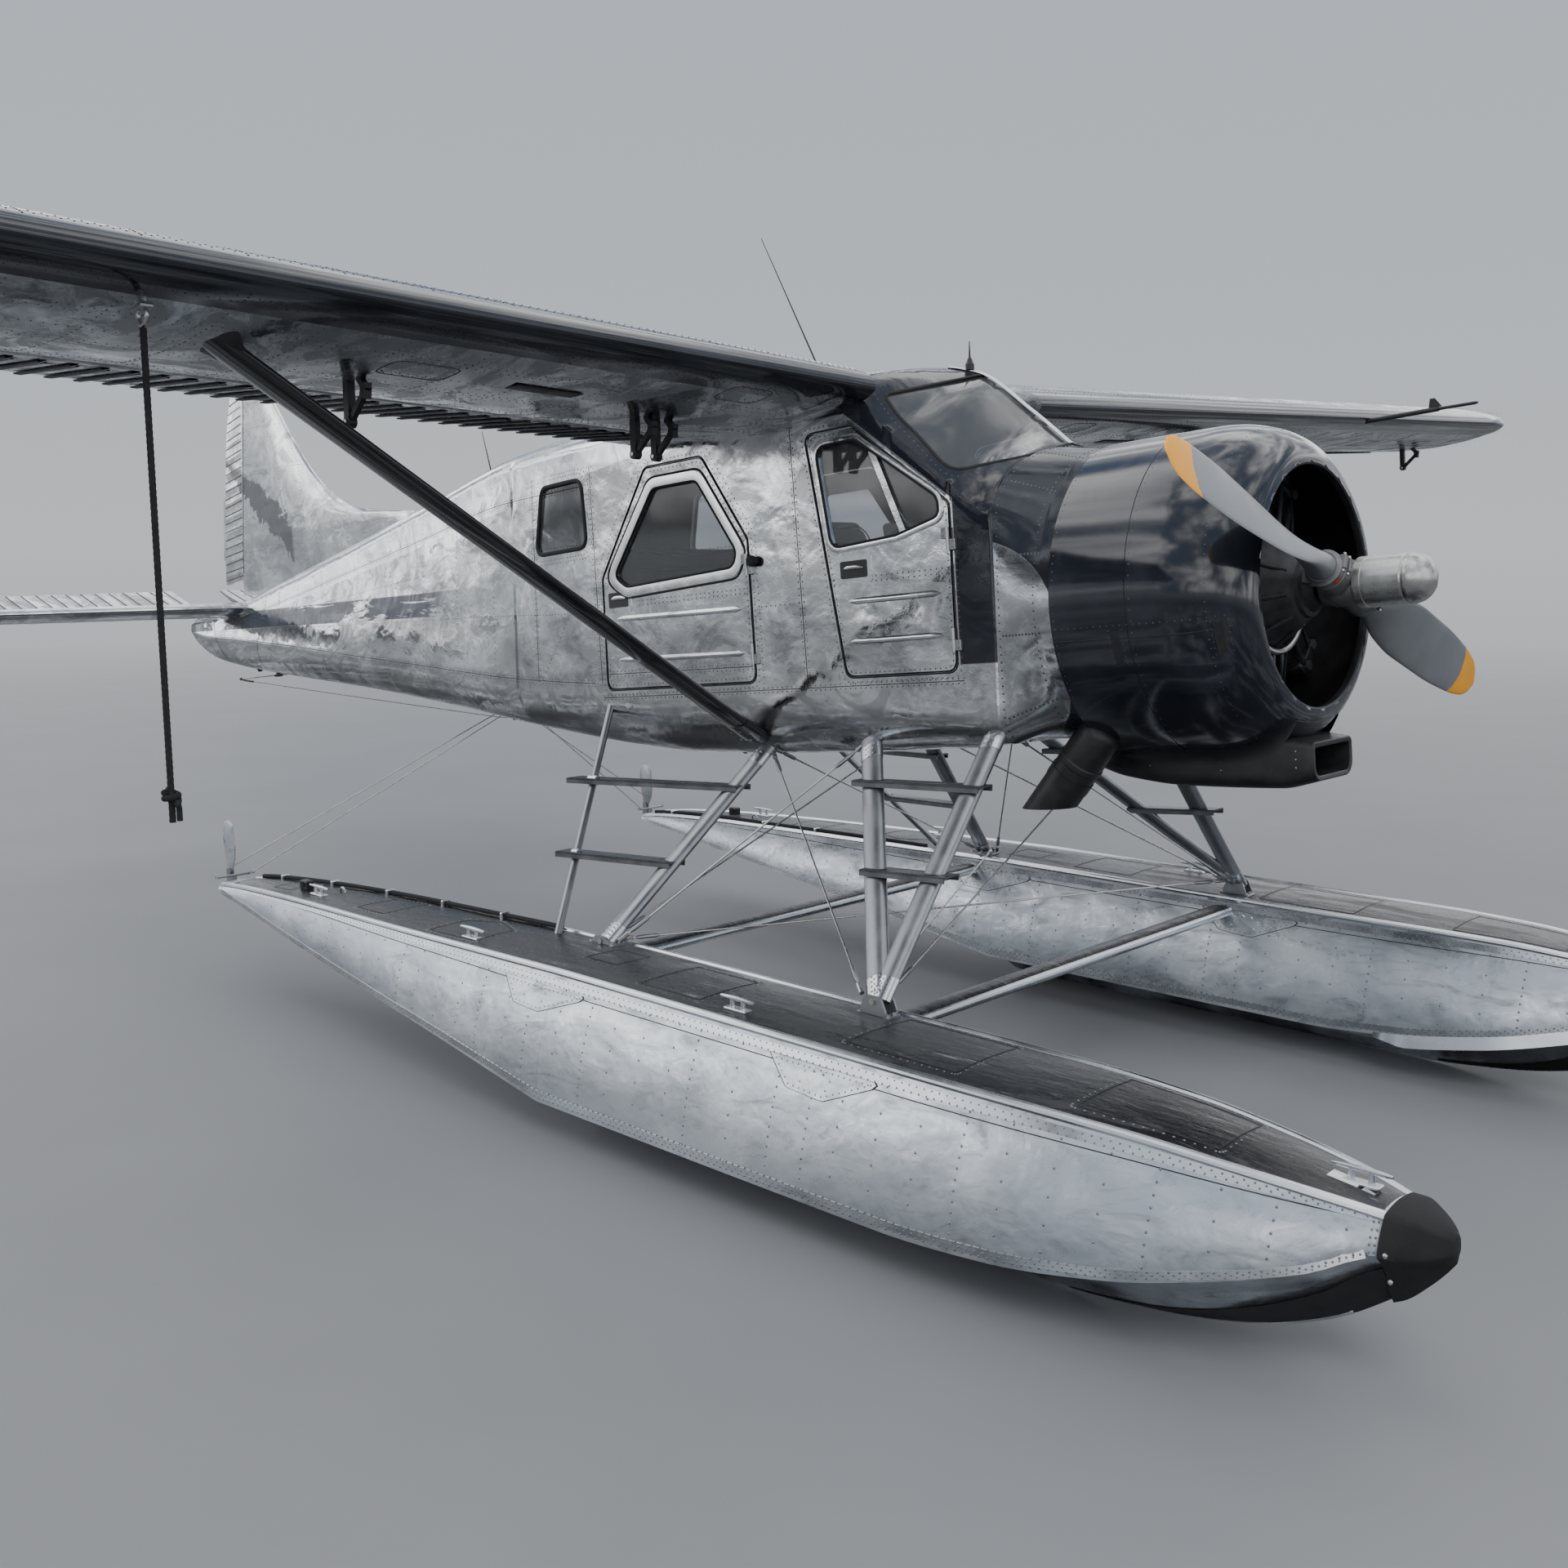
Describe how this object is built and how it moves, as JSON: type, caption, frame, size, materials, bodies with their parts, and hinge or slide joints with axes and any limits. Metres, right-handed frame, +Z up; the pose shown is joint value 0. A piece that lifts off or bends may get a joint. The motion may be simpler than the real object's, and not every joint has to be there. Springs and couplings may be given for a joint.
{
  "type": "floatplane",
  "caption": "High-wing utility floatplane with a cowled radial engine, bare-metal fuselage and tail, strut-braced wing, and floats carrying retractable water rudders.",
  "frame": {"origin": "on the floor under the middle of the bounding box, between the keels", "axes": "+X forward to the propeller, +Y to port, +Z up"},
  "size_m": [9.9249, 14.6172, 3.7678],
  "materials": {
    "bare_metal": "polished",
    "float_metal": "satin",
    "strut_metal": "satin",
    "dark_paint": "gloss",
    "black_paint": "satin",
    "engine_metal": "satin",
    "hub_steel": "satin",
    "blade_paint": "satin",
    "clear_pane": "gloss",
    "black_rubber": "matte",
    "black_plastic": "matte",
    "seat_cloth": "matte",
    "rope_fibre": "matte"
  },
  "bodies": {
    "airframe": {"cabin_shell": "bare_metal", "rear_window_left": "clear_pane", "rear_window_right": "clear_pane", "windshield": "clear_pane", "rear_fuselage": "bare_metal", "whip_antenna": "black_paint", "wing_left": "bare_metal", "wing_right": "bare_metal", "wing_strut_left": "dark_paint", "wing_strut_right": "dark_paint", "nose_cowl": "bare_metal", "engine_cowl": "dark_paint", "cowl_scoop": "black_paint", "exhaust_pipe": "black_paint", "engine": "engine_metal", "fin": "bare_metal", "tailplane_left": "bare_metal", "tailplane_right": "bare_metal", "float_left": "float_metal", "float_right": "float_metal", "bow_bumper_left": "black_rubber", "bow_bumper_right": "black_rubber", "front_strut_left": "strut_metal", "front_strut_right": "strut_metal", "rear_strut_left": "strut_metal", "rear_strut_right": "strut_metal", "spreader_bar_front": "strut_metal", "spreader_bar_rear": "strut_metal", "tiedown_rope": "rope_fibre", "instrument_panel": "black_plastic", "control_column": "black_plastic", "front_seat_left": "seat_cloth", "front_seat_right": "seat_cloth", "rear_bench": "seat_cloth"},
    "propeller": {"propeller_hub": "hub_steel", "blade_1": "blade_paint", "blade_2": "blade_paint"},
    "rudder_body": {"rudder": "bare_metal"},
    "elevator_body": {"elevator_left": "bare_metal", "elevator_right": "bare_metal"},
    "flap_body_left": {"flap_left": "bare_metal"},
    "aileron_body_left": {"aileron_left": "bare_metal"},
    "crew_door_body_left": {"crew_door_left": "bare_metal", "crew_door_glass_left": "clear_pane"},
    "cabin_door_body_left": {"cabin_door_left": "bare_metal", "cabin_door_glass_left": "clear_pane"},
    "water_rudder_post_body_left": {"water_rudder_post_left": "strut_metal"},
    "water_rudder_blade_body_left": {"water_rudder_blade_left": "strut_metal"},
    "flap_body_right": {"flap_right": "bare_metal"},
    "aileron_body_right": {"aileron_right": "bare_metal"},
    "crew_door_body_right": {"crew_door_right": "bare_metal", "crew_door_glass_right": "clear_pane"},
    "cabin_door_body_right": {"cabin_door_right": "bare_metal", "cabin_door_glass_right": "clear_pane"},
    "water_rudder_post_body_right": {"water_rudder_post_right": "strut_metal"},
    "water_rudder_blade_body_right": {"water_rudder_blade_right": "strut_metal"}
  },
  "joints": [
    {"name": "propeller_spin", "type": "hinge", "parent": "airframe", "child": "propeller", "pos_m": [3.897, 0, 2.19], "axis": [0.9954, 0, 0.0958], "continuous": true},
    {"name": "rudder_turn", "type": "hinge", "parent": "airframe", "child": "rudder_body", "pos_m": [-4.0801, 0, 2.09], "axis": [0.0508, 0, 0.9987], "range_deg": [-13, 37]},
    {"name": "elevator_tilt", "type": "hinge", "parent": "airframe", "child": "elevator_body", "pos_m": [-4.4795, 0, 1.8556], "axis": [0, 1, 0], "range_deg": [-45, 5]},
    {"name": "flap_tilt_left", "type": "hinge", "parent": "airframe", "child": "flap_body_left", "pos_m": [1.0955, 2.1966, 2.9594], "axis": [-0.0041, 0.9991, 0.0425], "range_deg": [-50, 0]},
    {"name": "aileron_tilt_left", "type": "hinge", "parent": "airframe", "child": "aileron_body_left", "pos_m": [1.0828, 5.2937, 3.0913], "axis": [-0.0041, 0.9991, 0.0425], "range_deg": [-20, 20]},
    {"name": "crew_door_swing_left", "type": "hinge", "parent": "airframe", "child": "crew_door_body_left", "pos_m": [2.6014, 0.63, 2.1657], "axis": [0.0958, 0, -0.9954], "range_deg": [0, 80]},
    {"name": "cabin_door_swing_left", "type": "hinge", "parent": "airframe", "child": "cabin_door_body_left", "pos_m": [1.5044, 0.63, 2.0601], "axis": [0.0958, 0, -0.9954], "range_deg": [0, 70]},
    {"name": "water_rudder_steer_left", "type": "hinge", "parent": "airframe", "child": "water_rudder_post_body_left", "pos_m": [-1.553, 1.512, 0.5], "axis": [0, 0, 1], "range_deg": [-30, 30]},
    {"name": "water_rudder_lift_left", "type": "hinge", "parent": "water_rudder_post_body_left", "child": "water_rudder_blade_body_left", "pos_m": [-1.603, 1.512, 0.578], "axis": [0, 1, 0], "range_deg": [-160, 0]},
    {"name": "flap_tilt_right", "type": "hinge", "parent": "airframe", "child": "flap_body_right", "pos_m": [1.0955, -2.1966, 2.9594], "axis": [0.0041, 0.9991, -0.0425], "range_deg": [-50, 0]},
    {"name": "aileron_tilt_right", "type": "hinge", "parent": "airframe", "child": "aileron_body_right", "pos_m": [1.0828, -5.2937, 3.0913], "axis": [0.0041, 0.9991, -0.0425], "range_deg": [-20, 20]},
    {"name": "crew_door_swing_right", "type": "hinge", "parent": "airframe", "child": "crew_door_body_right", "pos_m": [2.6014, -0.63, 2.1657], "axis": [-0.0958, 0, 0.9954], "range_deg": [0, 80]},
    {"name": "cabin_door_swing_right", "type": "hinge", "parent": "airframe", "child": "cabin_door_body_right", "pos_m": [1.5044, -0.63, 2.0601], "axis": [-0.0958, 0, 0.9954], "range_deg": [0, 70]},
    {"name": "water_rudder_steer_right", "type": "hinge", "parent": "airframe", "child": "water_rudder_post_body_right", "pos_m": [-1.553, -1.512, 0.5], "axis": [0, 0, 1], "range_deg": [-30, 30]},
    {"name": "water_rudder_lift_right", "type": "hinge", "parent": "water_rudder_post_body_right", "child": "water_rudder_blade_body_right", "pos_m": [-1.603, -1.512, 0.578], "axis": [0, 1, 0], "range_deg": [-160, 0]}
  ],
  "couplings": [
    {"joint": "flap_tilt_right", "follows": "flap_tilt_left", "ratio": 1},
    {"joint": "aileron_tilt_right", "follows": "aileron_tilt_left", "ratio": -1},
    {"joint": "water_rudder_steer_right", "follows": "water_rudder_steer_left", "ratio": 1},
    {"joint": "water_rudder_lift_right", "follows": "water_rudder_lift_left", "ratio": 1}
  ]
}
